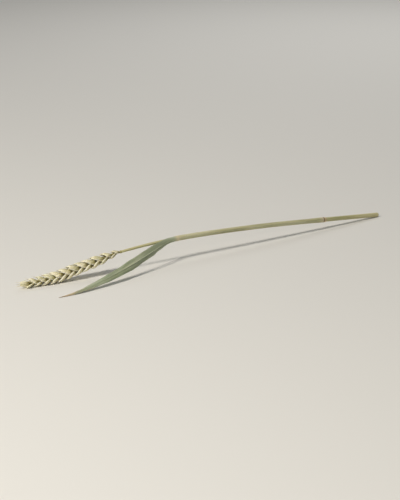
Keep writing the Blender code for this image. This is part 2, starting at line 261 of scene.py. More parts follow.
def maths(add, operation, *values):
    return add("Math", {"operation": operation}, dict(enumerate(values)))


def fibrePattern(add, fibre, longMm, wideMm, detail=2.0):
    # A pattern of patches that long and wide in mm, drawn out along the fibres.
    scale = (1000 / longMm, 1000 / wideMm, 1000 / wideMm)
    stretched = add("VectorMath", {"operation": "MULTIPLY"}, {0: fibre, 1: scale})
    return add("TexNoise", {}, {"Vector": stretched, "Scale": 1.0, "Detail": detail})


def tinted(add, colour, coats):
    # Tints over one another. Each grows to its most as its source goes from low to high.
    for source, low, high, most, tint in coats:
        amount = add("MapRange", {}, {0: source, 1: low, 2: high, 4: most})
        tint = linear(tint) if isinstance(tint, str) else tint
        colour = add("Mix", {"data_type": "RGBA"}, {0: amount, 6: colour, 7: tint}, 2)
    return colour


def finishMaterial(made, add, colour, relief, bump, pattern, roughness):
    # Links the colour, the relief as bump of that strength and depth, and a roughness that the pattern moves.
    normal = add("Bump", {}, {"Strength": bump[0], "Distance": bump[1], "Height": relief})
    rough = add("MapRange", {}, {0: pattern, 1: 0.3, 2: 0.7, 3: roughness[0], 4: roughness[1]})
    shader = made.node_tree.nodes["Principled BSDF"]
    for key, socket in (("Base Color", colour), ("Normal", normal), ("Roughness", rough)):
        made.node_tree.links.new(socket, shader.inputs[key])
    return made


# The root and low colours are partly the husks' own olive base, partly painted shade for the ear's gaps.
chaff = {
    "root": "#564D26", "low": "#9E9354", "body": "#D6CA94", "tip": "#F1E8C5", "awn": "#D4C48F",
    "green": "#A0A15F", "nerve": "#A59C60", "rust": "#9C7A46", "margin": "#F8F4E0",
}


def chaffMaterial(name, form):
    # Chaff: the ear's dried husks, grown as thin shells of silica-rich fibre. They are cream with a satin
    # gleam along their nerves, and bleached at the tip. Towards the root they turn olive, then near black:
    # partly their own greener base, partly painted shade where husks lie under one another and in the ear's
    # gaps.
    made, add = startMaterial(name, {
        "IOR": 1.48, "Sheen Weight": 0.06, "Subsurface Weight": 0.10, "Subsurface Scale": 0.001,
        "Subsurface Radius": (1.0, 0.8, 0.45),
    })
    grown, across, tone, fibre = meshValues(add, "grown", "across", "tone", "fibre")
    patches = fibrePattern(add, fibre, 5.0, 1.8, 3.0)
    streaks = fibrePattern(add, fibre, 3.0, 0.20)
    specks = fibrePattern(add, fibre, 0.9, 0.35, 1.0)
    # Nerves run from the root to the tip. They follow the husk's width, and fade where they close up.
    turns = maths(add, "MULTIPLY", across, math.pi * form["nerves"])
    wave = maths(add, "COSINE", turns)
    clear = add("MapRange", {}, {0: grown, 1: 0.5, 2: 0.85, 3: 1.0, 4: 0.25})
    nerve = maths(add, "MULTIPLY", wave, clear)
    edge = maths(add, "ABSOLUTE", across)
    uneven = add("MapRange", {}, {0: patches, 1: 0.3, 2: 0.7, 3: -0.08, 4: 0.08})
    place = maths(add, "ADD", grown, uneven)
    # Along the husk: the dark root and low stops, painted shade in part, then the cream body and the bleached
    # tip.
    colour = add("ValToRGB", {"stops": (
        (0.12, chaff["root"]), (0.31, chaff["low"]), (0.49, chaff["body"]), (0.71, chaff["tip"]),
        (0.88, chaff["tip"]), (1.0, chaff["awn"]),
    )}, {0: place})
    colour = tinted(add, colour, (
        (tone, 0.35, 1.0, 0.45, chaff["green"]),
        (nerve, 0.2, 1.0, 0.34, chaff["nerve"]),
        (streaks, 0.52, 0.70, 0.22, chaff["low"]),
        (streaks, 0.46, 0.30, 0.25, chaff["margin"]),
        (specks, 0.63, 0.75, 0.50, chaff["rust"]),
        (edge, 0.78, 0.98, form["paleMargin"], chaff["margin"]),
    ))
    relief = maths(add, "MULTIPLY_ADD", nerve, 0.5, streaks)
    return finishMaterial(made, add, colour, relief, (0.75, 0.0001), patches, (0.32, 0.48))


# Where the ear's spikelets stand, as in the solids. The draws differ from husk to husk.
ear = {
    "length": 0.095, "spikelets": 22, "firstAt": 0.0022, "step": 0.00375,
    "rollAtFoot": math.radians(15), "rollAtTip": math.radians(-6),
    "rowLean": math.radians(21), "pressed": math.radians(5),
    "firstSize": 0.64, "fullSizeBy": 4, "shrinksFrom": 12, "lastSize": 0.72,
    "endSpread": 0.45,      # the last spikelet is closed
    "endBare": 0.44,        # and no neighbour covers its husks' feet, so they get less painted shade: as pale as this far up others
    "topAwn": 0.0030, "awnsFrom": 10,
    "lengthShake": 0.04, "tiltShake": math.radians(2), "turnShake": math.radians(6), "seed": 7,
    "bend": 0.13,
    "twist": 0.12, "widthShake": 0.04, "awnSway": 0.14, "ownSeed": 20,   # these are the scene's own
}

# How the rings of every husk are shaped: shares of its own half-width, half-depth and length.
rings = {
    "around": 28, "bodyRows": 16, "awnRows": 6,
    "crowd": 1.25,                                      # the power by which rows stand closer to the tip
    "back": 0.90, "backRound": 0.85, "inside": 0.42,    # how deep its back and its inside are
    "keelHalf": 0.17, "keelFrom": 0.1875, "keelOver": 0.625,
    "lipAt": 0.46 * math.pi, "lipHalf": 0.20,
    "waves": 0.03, "wavesAlong": 19, "wavesAcross": 3, "wavesFrom": 6.28,
    "awnThins": 0.85, "awnEnds": 0.985,
    "footSunk": 0.0002,                                 # in metres
    "bodyShare": 0.9,                                   # the colours' share that is the husk's, not its awn's
}

# The three kinds of husk. The outline gives the half-width from foot to tip, as a share of the greatest.
floretOutline = (
    (0.0, 0.55), (0.18, 0.86), (0.42, 1.0), (0.68, 0.84), (0.86, 0.47), (0.95, 0.21), (1.0, 0.09),
)
husks = {
    "glumes": {
        "sides": (-1, 1), "foot": 0.0, "apart": 0.0011, "length": 0.0092, "width": 0.0040, "depth": 0.0034,
        "fan": math.radians(25), "stands": math.radians(1), "turned": math.radians(56), "awn": 0.0009,
        "keel": 0.26, "keelAside": 0.20, "lip": 0.10, "nerves": 7, "paleMargin": 0.7,
        "outline": (
            (0.0, 0.55), (0.16, 0.84), (0.42, 1.0), (0.68, 0.93), (0.86, 0.62), (0.94, 0.28), (1.0, 0.11),
        ),
    },
    "outer_florets": {
        "sides": (-1, 1), "foot": 0.0010, "apart": 0.0007, "length": 0.0106, "width": 0.0042, "depth": 0.0037,
        "fan": math.radians(19), "stands": math.radians(7), "turned": math.radians(30), "awn": 0.0013,
        "keel": 0.10, "keelAside": 0.08, "lip": 0.13, "nerves": 9, "paleMargin": 0.85,
        "outline": floretOutline,
    },
    "middle_florets": {
        "sides": (0,), "foot": 0.0026, "apart": 0.0, "length": 0.0088, "width": 0.0042, "depth": 0.0036,
        "fan": 0.0, "stands": math.radians(9), "turned": 0.0, "awn": 0.0011,
        "keel": 0.10, "keelAside": 0.0, "lip": 0.13, "nerves": 9, "paleMargin": 0.85,
        "outline": floretOutline,
    },
}


def earFrame(a):
    # A place a from the ear's foot, the way to its tip, the way its upper row stands, and across.
    centre, along, up, side = stalkFrame(stalk["earAt"] + a)
    roll = (ear["rollAtFoot"] + (ear["rollAtTip"] - ear["rollAtFoot"]) * a / ear["length"])[:, None]
    row = up * np.cos(roll) + side * np.sin(roll)
    return centre, along, row, np.cross(along, row)


def huskPlaces():
    # Every husk's foot, directions and sizes. The draws come in the order in which the solids made them.
    draw = random.Random(ear["seed"]).uniform
    places = {kind: [] for kind in husks}

    def grow(kinds, centre, out, row, across, size, longer, spread, bare):
        for kind in kinds:
            form = husks[kind]
            for side in form["sides"]:
                fan = side * (form["fan"] * spread + draw(-ear["tiltShake"], ear["tiltShake"]))
                stands = form["stands"] + draw(-ear["tiltShake"], ear["tiltShake"])
                turned = side * (form["turned"] + draw(-ear["turnShake"], ear["turnShake"]))
                ahead = out * math.cos(stands) + row * math.sin(stands)
                ahead = unit(ahead * math.cos(fan) + across * math.sin(fan))
                back = row * math.cos(turned) + across * math.sin(turned)
                back = unit(back - ahead * (back @ ahead))
                places[kind].append({
                    "foot": centre + out * form["foot"] * size + across * side * form["apart"] * size,
                    "ahead": ahead, "back": back, "wide": np.cross(ahead, back),
                    "length": form["length"] * size * (1 + draw(-ear["lengthShake"], ear["lengthShake"])),
                    "width": form["width"] * size, "depth": form["depth"] * size,
                    "awn": longer + form["awn"] * size, "side": side, "bare": bare,
                })

    count = ear["spikelets"]
    numbers = np.arange(count + 1)
    frames = zip(*earFrame(ear["firstAt"] + numbers * ear["step"]))
    grown = ear["firstSize"] + (1 - ear["firstSize"]) * smoothStep(numbers / ear["fullSizeBy"])
    shrinks = smoothStep((numbers - ear["shrinksFrom"]) / (count - ear["shrinksFrom"]))
    shrunk = 1 - (1 - ear["lastSize"]) * shrinks
    longer = ear["topAwn"] * smoothStep((numbers - ear["awnsFrom"]) / (count - ear["awnsFrom"]))
    for i, (centre, along, row, across) in enumerate(frames):
        spread, bare = 1.0, 0.0
        if i == count:
            row, across, lean, spread, bare = across, -row, 0.0, ear["endSpread"], ear["endBare"]
        else:
            flip = 1 if i % 2 == 0 else -1
            row, across = row * flip, across * flip
            lean = ear["rowLean"] - (ear["pressed"] if flip < 0 else 0)
            lean += draw(-ear["tiltShake"], ear["tiltShake"])
        out = along * math.cos(lean) + row * math.sin(lean)
        row = unit(row * math.cos(lean) - along * math.sin(lean))
        grow(tuple(husks), centre, out, row, across, grown[i] * shrunk[i], longer[i], spread, bare)
    grow(tuple(husks)[1:], centre, out, -row, -across, grown[-1] * shrunk[-1], longer[-1], spread, bare)
    return places


def addHusks(name, places, seed):
    # A husk is a boat along a line that bends in to the ear: rings whose half-width is the outline, round
    # and keeled on the back, flatter inside, with a lip at the margins. Its awn runs on from the tip.
    form = husks[name]
    count, cols, bodyRows, awnRows = len(places), rings["around"], rings["bodyRows"], rings["awnRows"]
    shape = (count, bodyRows + awnRows, cols)
    draw = np.random.default_rng(seed)

    def ofEach(*keys):
        return {key: np.array([place[key] for place in places])[:, None, None] for key in keys}

    ways = ofEach("foot", "ahead", "back", "wide")
    sizes = ofEach("length", "width", "depth", "awn", "side", "bare")
    body = 1 - (1 - np.linspace(0, 1, bodyRows)) ** rings["crowd"]
    awn = np.linspace(0, rings["awnEnds"], awnRows + 1)[1:]
    along = np.concatenate([body, np.ones(awnRows)])[None, :, None]
    beyond = np.concatenate([np.zeros(bodyRows), awn])[None, :, None]
    q = ringAngles(cols)[None, None]
    half = through(form["outline"], along.ravel()).reshape(1, -1, 1) * (1 - rings["awnThins"] * beyond)
    half = half * (1 + draw.normal(0, ear["widthShake"], (count, 1, 1)))
    x, y = np.sin(q), np.cos(q)
    keel = form["keel"] * bell((x - form["keelAside"] * sizes["side"]) / rings["keelHalf"])
    keel = keel * smoothStep((along - rings["keelFrom"]) / rings["keelOver"])
    lip = form["lip"] * bell((np.abs(q - np.pi) - rings["lipAt"]) / rings["lipHalf"]) * (1 - beyond)
    wavesFrom = draw.uniform(0, rings["wavesFrom"], (count, 1, 1))
    waves = np.sin(along * rings["wavesAlong"] + wavesFrom + x * rings["wavesAcross"]) * (1 - beyond)
    back = rings["back"] * np.abs(y) ** rings["backRound"] + keel
    deep = np.where(y > 0, back, rings["inside"] * y) * (1 + rings["waves"] * waves)
    wide = x * (1 + lip)
    twist = draw.normal(0, ear["twist"], (count, 1, 1)) * along
    turnedWide = wide * np.cos(twist) - deep * np.sin(twist) * sizes["depth"] / sizes["width"]
    turnedDeep = deep * np.cos(twist) + wide * np.sin(twist) * sizes["width"] / sizes["depth"]
    sway = draw.normal(0, ear["awnSway"], (count, 1, 1)) * sizes["awn"] * beyond**2
    ahead = sizes["length"] * along + sizes["awn"] * beyond
    bent = ear["bend"] * sizes["length"] * along**2
    points = (
        ways["foot"] + ways["ahead"] * ahead[..., None]
        + ways["back"] * (sizes["depth"] / 2 * half * turnedDeep - bent)[..., None]
        + ways["wide"] * (sizes["width"] / 2 * half * turnedWide + sway)[..., None]
    )
    foot = ways["foot"][:, 0, 0] - ways["ahead"][:, 0, 0] * rings["footSunk"]
    poles = np.stack([foot, points[:, -1].mean(1)], 1)
    points = np.concatenate([points.reshape(count, -1, 3), poles], 1)

    def inOrder(value, atTip):
        body = np.broadcast_to(value, shape).reshape(count, -1)
        return np.concatenate([body, np.zeros((count, 1)), np.full((count, 1), atTip)], 1).ravel()

    own = draw.uniform(0, 1, (count, 1, 1))
    # Colours run from the husk's dark foot, which is partly painted shade, to its tip. Bare feet get less of
    # that shade.
    grown = along * rings["bodyShare"] + beyond * (1 - rings["bodyShare"]) + sizes["bare"] * (1 - along)
    values = {
        "grown": inOrder(grown, 1.0),
        "across": inOrder(x, 0.0),
        "tone": inOrder(draw.uniform(0, 1, (count, 1, 1)), 0.0),
        "fibre": np.stack([
            inOrder(ahead + own, 0.0), inOrder(sizes["width"] / 2 * half * wide, 0.0), inOrder(own, 0.0),
        ], 1),
    }
    material = chaffMaterial(name + "_dried_husk", form)
    piece = addSurface(name, points, loftFaces(*shape[1:], "fan", count), values, material)
    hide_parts("ear")


for seed, (name, places) in enumerate(huskPlaces().items()):
    addHusks(name, places, ear["ownSeed"] + seed)

rachis = {
    "width": 0.0021, "depth": 0.0014, "taper": 0.35, "zigzag": 0.0003,
    # It widens under each spikelet. Places along it are shares of a step from one spikelet to the next.
    "swell": 0.22, "swellAt": -0.12, "swellHalf": 0.28, "swellsFrom": -0.2,
    "endShrinks": 0.6,
    "fromStraw": 0.003,  # over this length it turns from the straw's round to its own flat oval
    "collar": 0.00018, "collarAt": 0.0006, "collarHalf": 0.0005,   # the low ring at the ear's foot
    "sunk": 0.4, "sunkHalf": 0.0002,       # its start is drawn in by this share of the ring
    # Its colour is read low on the husks' ramp, darker between spikelets: partly its own olive, partly
    # painted shade.
    "grown": 0.30, "grownChange": 0.1, "tone": 0.6, "across": 0.8,
    "nerves": 5, "paleMargin": 0.2,
    "rows": 340, "around": 28,
}


def addRachis():
    # The ear's axis: a flat oval that swings from side to side, and widens under each spikelet. It starts
    # inside the straw, with a low ring that covers the straw's end.
    a = np.linspace(0.0, ear["firstAt"] + ear["spikelets"] * ear["step"], rachis["rows"])
    centre, along, row, across = earFrame(a)
    step = (a - ear["firstAt"]) / ear["step"]
    swing = rachis["zigzag"] * np.cos(np.pi * step) * (step > 0)
    fromSwell = (step - rachis["swellAt"]) % 1.0
    swell = 1 + rachis["swell"] * bell(fromSwell / rachis["swellHalf"]) * (step > rachis["swellsFrom"])
    thin = (1 - rachis["taper"] * a / ear["length"]) * swell
    thin = thin * (1 - rachis["endShrinks"] * smoothStep(step - ear["spikelets"] + 1))
    flat = smoothStep(a / rachis["fromStraw"])
    ring = bell((a - rachis["collarAt"]) / rachis["collarHalf"])
    ring = ring - rachis["sunk"] * bell(a / rachis["sunkHalf"])
    footRadius = straw["earFootRadius"] * (1 - flat) + rachis["collar"] * ring
    halfWide = (rachis["width"] / 2 * thin * flat + footRadius)[:, None]
    halfDeep = (rachis["depth"] / 2 * thin * flat + footRadius)[:, None]
    q = ringAngles(rachis["around"])[None]
    x, y = np.sin(q) * halfWide, np.cos(q) * halfDeep
    middle = centre + row * swing[:, None]
    points = middle[:, None] + across[:, None] * x[..., None] + row[:, None] * y[..., None]
    points = np.concatenate([points.reshape(-1, 3), centre[:1], centre[-1:]])

    def inOrder(value):
        return np.append(np.broadcast_to(value, x.shape), (0.0, 0.0))

    # Near the husks' dark root colours and darker between spikelets: partly its own olive, partly painted
    # shade in the gaps.
    values = {
        "grown": inOrder(rachis["grown"] + rachis["grownChange"] * np.cos(2 * np.pi * step)[:, None]),
        "across": inOrder(x / halfWide * rachis["across"]), "tone": inOrder(rachis["tone"]),
        "fibre": np.stack([inOrder(a[:, None]), inOrder(x), inOrder(y)], 1),
    }
    material = chaffMaterial("rachis_dried_axis", rachis)
    faces = loftFaces(rachis["rows"], rachis["around"], "fan")
    piece = addSurface("rachis", points, faces, values, material)
    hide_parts("ear")


addRachis()

strawLook = {
    "butt": "#CBC18F", "body": "#BCB583", "green": "#A8A674", "neck": "#CBC28E", "knot": "#CDB48A",
    "ring": "#382C1C", "pale": "#DCD5AD", "dusk": "#8F8A55", "pith": "#E9E2C4",
    "knotFrom": 0.0040, "knotFull": 0.0012,     # how far from the ring the knot's colour starts and is full
    "ringAt": 0.00045, "ringHalf": 0.00044, "ringSoft": 0.0003,
    "patchShift": 0.012,        # how far patches move the colours along
}


def strawMaterial():
    # Straw: a dried hollow stem, grown with a waxy, silica-hard skin over long fibres. It is smooth and
    # satin with fine long streaks, tan at its knot, with a dark ring where the leaf was joined to it.
    made, add = startMaterial("dried_straw_waxy_skin", {
        "IOR": 1.5, "Coat Weight": 0.08, "Coat Roughness": 0.42,
    })
    fibre, inside = meshValues(add, "fibre", "inside")
    along = add("SeparateXYZ", {}, {0: fibre})
    patches = fibrePattern(add, fibre, 60.0, 5.0)
    streaks = fibrePattern(add, fibre, 40.0, 0.5, 3.0)   # real fibres are 0.1 mm: drawn coarser, to show
    fine = fibrePattern(add, fibre, 12.0, 0.16)
    place = maths(add, "MULTIPLY_ADD", patches, strawLook["patchShift"], along)
    share = maths(add, "DIVIDE", place, stalk["earAt"] + strawLook["patchShift"])
    colour = add("ValToRGB", {"stops": (
        (0.0, strawLook["butt"]), (0.12, strawLook["body"]), (0.20, strawLook["green"]),
        (0.26, strawLook["body"]), (0.80, strawLook["green"]), (0.90, strawLook["body"]),
        (1.0, strawLook["neck"]),
    )}, {0: share})
    below = maths(add, "SUBTRACT", along, stalk["knotAt"] + strawLook["ringAt"])
    fromRing = maths(add, "ABSOLUTE", below)
    wavy = maths(add, "MULTIPLY_ADD", fine, strawLook["ringSoft"], fromRing)
    half, soft = strawLook["ringHalf"], strawLook["ringSoft"]
    colour = tinted(add, colour, (
        (streaks, 0.50, 0.72, 0.65, strawLook["pale"]),
        (streaks, 0.46, 0.28, 0.55, strawLook["dusk"]),
        (fine, 0.55, 0.70, 0.30, strawLook["dusk"]),
        (wavy, strawLook["knotFrom"], strawLook["knotFull"], 0.95, strawLook["knot"]),
        (wavy, half + soft, half, 0.92, strawLook["ring"]),
        (inside, 0.0, 1.0, 1.0, strawLook["pith"]),
    ))
    relief = maths(add, "MULTIPLY_ADD", fine, 0.5, streaks)
    return finishMaterial(made, add, colour, relief, (0.6, 0.0001), streaks, (0.42, 0.56))


def addStraw():
    # Rings from the ear's foot to the cut end, then across the cut wall and in through the bore to its
    # floor. Fine ribs run along the skin. The cut slants, and has small splinters.
    knotAt, cols, edge = stalk["knotAt"], straw["around"], straw["edgeAt"]
    above, below = knotAt + straw["fineAbove"], knotAt - straw["fineBelow"]
    outer = np.concatenate([
        np.linspace(stalk["earAt"] + straw["underEar"], above, straw["rows"], endpoint=False),
        np.linspace(above, below, straw["knotRows"], endpoint=False),
        np.linspace(below, straw["lastRing"], straw["buttRows"]), (edge,),
    ])
    inward = np.concatenate([(edge,), np.linspace(straw["boreRing"], straw["boreDepth"], straw["boreRows"])])
    s = np.concatenate([outer, (0.0, 0.0, 0.0), inward])[:, None]
    angles = ringAngles(cols)[None]
    onShoulder = (outer > knotAt) & (outer < knotAt + straw["knotShoulder"])
    radius = np.where(onShoulder, straw["knotRadius"], strawRadius(outer))
    radius = radius - straw["groove"] * bell((outer - knotAt - straw["grooveAt"]) / straw["grooveHalf"])
    radius = radius + straw["bulge"] * bell((outer - knotAt - straw["bulgeAt"]) / straw["bulgeHalf"])
    skin, bore = straw["radius"], straw["boreRadius"]
    wall = (skin - straw["outerEdge"], (skin + bore) / 2, bore + straw["innerEdge"])
    radius = np.concatenate([radius, wall, np.full(len(inward), bore)])[:, None]
    onSkin = (np.arange(len(s)) < len(outer))[:, None]
    ribsEnd = smoothStep((stalk["earAt"] - s) / straw["ribsFadeOver"])
    radius = radius + straw["ribDepth"] * np.cos(angles * straw["ribs"]) * onSkin * ribsEnd
    nearCut = 1 - smoothStep(s / straw["ovalOver"])
    radius = radius * (1 + straw["oval"] * np.cos(2 * angles + straw["ovalTurn"]) * nearCut)
    draw = np.random.default_rng(straw["seed"])
    ragged = draw.normal(0, straw["cutRagged"], cols)
    ragged[draw.integers(0, cols, straw["splinters"])] -= straw["splinter"]
    cut = straw["cutSlant"] * np.cos(angles - straw["slantTurn"]) + ragged[None]
    s = s + cut * np.clip(1 - s / straw["cutReach"], 0, 1)
    ring = around(s, radius, angles)
    points = np.concatenate([ring.reshape(-1, 3), ring[:1].mean(1), ring[-1:].mean(1)])

    def inOrder(value, atFloor):
        return np.append(np.broadcast_to(value, s.shape), (0.0, atFloor))

    values = {
        "fibre": np.stack([
            inOrder(s, straw["boreDepth"]),
            inOrder(radius * np.sin(angles), 0.0), inOrder(-radius * np.cos(angles), 0.0),
        ], 1),
        "inside": inOrder(~onSkin * 1.0, 1.0),
    }
    piece = addSurface("culm", points, loftFaces(*s.shape, "fan"), values, strawMaterial())
    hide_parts("straw")


addStraw()

# The flag leaf: a sheath rolled round the straw, and a blade that falls to the table. What they share:
leafLook = {
    "tan": "#B59C7A", "brown": "#7E6747", "straw": "#CDBC96", "collar": "#CFC3A0", "midribPale": "#C0C3A2",
    "dryShift": 0.55, "dryEdge": 0.10, "dryPower": 12.0,   # it dries in streaks, and first at its margins
    "drySoft": 0.06,
}


def leafMaterial(name, form):
    # Leaf: a dried grass leaf, grown thin, with stiff veins along it. It is matt, with pale veins and long
    # streaks. Where it dried first, at the tip and margins, it has bleached to tan.
    made, add = startMaterial(name, {
        "IOR": 1.45, "Sheen Weight": 0.05, "Subsurface Weight": 0.06, "Subsurface Scale": 0.001,
        "Subsurface Radius": (0.8, 1.0, 0.4),
    })
    fibre, across, grown, collar = meshValues(add, "fibre", "across", "grown", "collar")
    patches = fibrePattern(add, fibre, 35.0, 4.0, 3.0)
    streaks = fibrePattern(add, fibre, 50.0, 0.45)
    fine = fibrePattern(add, fibre, 14.0, 0.15)
    turns = maths(add, "MULTIPLY", across, math.pi * form["veins"])
    vein = maths(add, "COSINE", turns)
    edge = maths(add, "ABSOLUTE", across)
    look, driesFrom = form["look"], form["driesFrom"]
    greens = ((0.32, look["dusk"]), (0.50, look["base"]), (0.72, look["pale"]))
    tans = ((0.35, leafLook["brown"]), (0.52, leafLook["tan"]), (0.75, leafLook["straw"]))
    colour = add("ValToRGB", {"stops": greens}, {0: patches})
    tan = add("ValToRGB", {"stops": tans}, {0: patches})
    flecks = fibrePattern(add, fibre, 2.5, 0.35, 1.0)
    dry = maths(add, "MULTIPLY_ADD", streaks, leafLook["dryShift"], grown)
    dryEdge = maths(add, "POWER", edge, leafLook["dryPower"])
    dry = maths(add, "MULTIPLY_ADD", dryEdge, leafLook["dryEdge"], dry)
    colour = tinted(add, colour, (
        (vein, 0.0, 1.0, 0.45, look["pale"]),
        (streaks, 0.50, 0.70, 0.55, look["yellow"]),
        (streaks, 0.46, 0.30, 0.55, look["dusk"]),
        (fine, 0.55, 0.70, 0.30, look["dusk"]),
        (edge, 0.07, 0.02, 0.50, leafLook["midribPale"]),
        (flecks, 0.66, 0.74, 0.45, leafLook["brown"]),
        (dry, driesFrom, driesFrom + leafLook["drySoft"], 1.0, tan),
        (collar, 0.0, 1.0, 1.0, leafLook["collar"]),
    ))
    relief = maths(add, "MULTIPLY_ADD", vein, 0.2, fine)
    return finishMaterial(made, add, colour, relief, (0.6, 0.00008), patches, (0.44, 0.62))


def leafValues(along, aside, out, across, grown, collar):
    # The values that a leaf's patterns follow, each spread over the grid of points.
    shape = np.broadcast(along, aside, out, across, grown, collar).shape
    flat = [np.broadcast_to(value, shape).ravel() for value in (along, aside, out, across, grown, collar)]
    return {"fibre": np.stack(flat[:3], 1), "across": flat[3], "grown": flat[4], "collar": flat[5]}


def addLeafPiece(name, points, values, form, ends="strip", copies=1):
    # A piece of the leaf. Its grid of points has an outer and an inner half, or rings with two poles.
    rows, cols = points.shape[-3:-1]
    material = leafMaterial(name + "_dried_leaf", form)
    if ends == "fan":
        poles = np.stack([points[:, 0].mean(1), points[:, -1].mean(1)], 1)
        points = np.concatenate([points.reshape(copies, -1, 3), poles], 1)
        for key, data in values.items():
            data = data.reshape(copies, rows * cols, -1)
            data = np.concatenate([data, data[:, :1], data[:, -1:]], 1)
            values[key] = data.reshape(-1, 3) if key == "fibre" else data.ravel()
    piece = addSurface(name, points, loftFaces(rows, cols, ends, copies), values, material)
    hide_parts("flag_leaf")


def folded(outer, inner):
    # A closed strip's ring: its outer half, then its inner half back.
    return np.concatenate([outer, inner[:, ::-1]], 1)


sheath = {
    "clearance": 0.0003, "solidWall": 0.0005,                       # as in the solids, with the next line
    "swell": 0.018, "flare": 0.00015, "flareLength": 0.012,
    "wall": 0.00034, "marginWall": 0.22, "marginOver": 0.03,        # its free margins thin to this share
    "overlap": math.radians(52), "underOver": 1.1, "layerGap": 0.00004,
    "sunk": 0.0001, "opensOver": 0.006, "pinch": 0.00022, "pinchHalf": 0.0006,    # at its foot
    "lift": 0.00010, "liftHalf": 0.01, "liftWaves": 230,            # its free margin stands up here and there
    "press": 0.00016, "pressOver": 0.02,                            # and ends pressed down
    "veins": 17, "rib": 0.000028, "ribsEnd": 0.002, "ribsFadeOver": 0.005,
    "tuck": 0.00012, "tuckHalf": math.radians(98), "tuckSoft": 0.2,  # it is drawn in under the blade's foot
    "tuckFrom": 0.004, "tuckOver": 0.003,
    "paleMouth": 0.9, "paleMouthOver": 0.0035, "paleFoot": 0.85, "paleFootOver": 0.0065,
    "grown": 0.1, "grownChange": 0.25, "driesFrom": 1.4,            # it hardly dries to tan
    "footRows": 60, "rows": 220, "across": 90,
    "look": {"base": "#B4B083", "dusk": "#8E8A5E", "pale": "#CECAA8", "yellow": "#C5BD8C"},
}


def sheathRadius(s):
    # Slim, swollen at its foot over the knot, and flared at its mouth.
    slim = straw["neckRadius"] + sheath["clearance"] + sheath["solidWall"]
    foot = (straw["knotRadius"] - slim) * (1 - smoothStep((s - stalk["knotAt"]) / sheath["swell"]))
    return slim + foot + sheath["flare"] * smoothStep((s - stalk["collarAt"]) / sheath["flareLength"] + 1)


def addSheath():
    # A sheet rolled once round the straw and a bit more. Where it starts it is drawn in by its own wall, so
    # that its free margin ends in a step over it, on the side away from the blade.
    foot, mouth = stalk["knotAt"] + straw["knotShoulder"] - sheath["sunk"], stalk["collarAt"]
    opened = foot + sheath["opensOver"]
    s = np.concatenate([
        np.linspace(foot, opened, sheath["footRows"], endpoint=False),
        np.linspace(opened, mouth, sheath["rows"]),
    ])[:, None]
    t = np.linspace(0, 1, sheath["across"])[None]
    rolled = t * (2 * math.pi + sheath["overlap"]) - sheath["overlap"]
    turn = math.radians(90) + sheath["overlap"] / 2 + rolled
    opening = smoothStep((s - foot) / sheath["opensOver"])
    under = (sheath["wall"] + sheath["layerGap"]) * (1 - smoothStep(rolled / sheath["underOver"]))
    ribs = sheath["rib"] * np.cos(2 * math.pi * t * sheath["veins"])
    ribs = ribs * smoothStep((mouth - sheath["ribsEnd"] - s) / sheath["ribsFadeOver"])
    lifted = sheath["lift"] * bell((1 - t) / sheath["liftHalf"]) * np.sin(s * sheath["liftWaves"])
    pressed = sheath["press"] * smoothStep(1 - (1 - t) / sheath["pressOver"])
    pinched = sheath["pinch"] * bell((s - foot) / sheath["pinchHalf"])
    fromBlade = np.abs(turn - math.radians(270))
    tucked = sheath["tuck"] * smoothStep((sheath["tuckHalf"] - fromBlade) / sheath["tuckSoft"])
    tucked = tucked * smoothStep((s - mouth + sheath["tuckFrom"]) / sheath["tuckOver"])
    outer = sheathRadius(s) + (ribs - under + lifted) * opening - pressed - pinched - tucked
    full = np.minimum(1, np.minimum(t, 1 - t) / sheath["marginOver"])
    inner = outer - sheath["wall"] * (sheath["marginWall"] + (1 - sheath["marginWall"]) * full)
    radii, turns, across = folded(outer, inner), folded(turn, turn), folded(t, t) * 2 - 1
    atMouth = smoothStep(1 - (mouth - s) / sheath["paleMouthOver"]) * sheath["paleMouth"]
    atKnot = smoothStep(1 - (s - foot) / sheath["paleFootOver"]) * sheath["paleFoot"]
    grown = sheath["grown"] + sheath["grownChange"] * (s - foot) / (mouth - foot)
    away, out = radii * np.sin(turns), radii * np.cos(turns)
    values = leafValues(s, away, out, across, grown, np.maximum(atMouth, atKnot))
    points = around(s, radii, turns)
    addLeafPiece("leaf_sheath", points, values, sheath)


blade = {
    # As in the solids. The route is the way from the collar towards the ear, away from the straw, and height.
    "footWidth": 0.0062, "width": 0.0082, "tipWidth": 0.0009, "widestAt": 0.3,
    "foot": -0.003, "hugsTo": 0.003, "opensOver": 0.07, "openCurve": 0.032, "solidThickness": 0.0006,
    "facesAtFoot": math.radians(-4), "facesAtTip": math.radians(84),
    "route": (
        (0.014, 0.0044, 0.0180), (0.034, 0.0118, 0.0150), (0.060, 0.0208, 0.0102),
        (0.086, 0.0272, 0.0056), (0.109, 0.0312, 0.0022), (0.122, 0.0326, 0.0008),
        (0.134, 0.0332, 0.00023),
    ),
    # The scene's own. Waves are a size and how many radians of them lie along the blade.
    "thickness": 0.00038, "marginThins": 0.5, "tipThins": 0.45,
    "midrib": 0.00018, "midribHalf": 0.06, "veins": 17, "rib": 0.00002,
    "unevenRibs": 0.3, "unevenAcross": 23, "unevenAlong": 9,
    "widthWave": (0.025, 31), "widthRipple": (0.02, 57), "widthShift": 1,
    "fold": 0.00060, "foldHalf": 0.30, "curl": (0.00050, 17), "curlShift": 1.5,
    "ruffle": (0.00028, 44), "ripple": (0.00014, 83), "ruffleShift": 2.2,
    "opensFrom": 0.004, "wavesOver": 0.03,
    "point": 0.06, "pointThins": 0.88, "pointPower": 1.5,    # its last share narrows to a point
    "sunk": 0.0001, "raised": 0.00022, "raisedOver": 0.014,  # its foot rises out of the sheath
    "dipped": 0.00042, "dippedOver": 0.0024,
    "collar": 0.00016, "collarAt": 0.0008, "collarHalf": 0.0012,
    "paleCollar": 0.95, "paleAt": 0.0004, "paleHalf": 0.0026, "driesFrom": 1.13,
    "rows": 300, "across": 103,
    "look": {"base": "#939D80", "dusk": "#737D60", "pale": "#AFB69A", "yellow": "#B2AF84"},
}


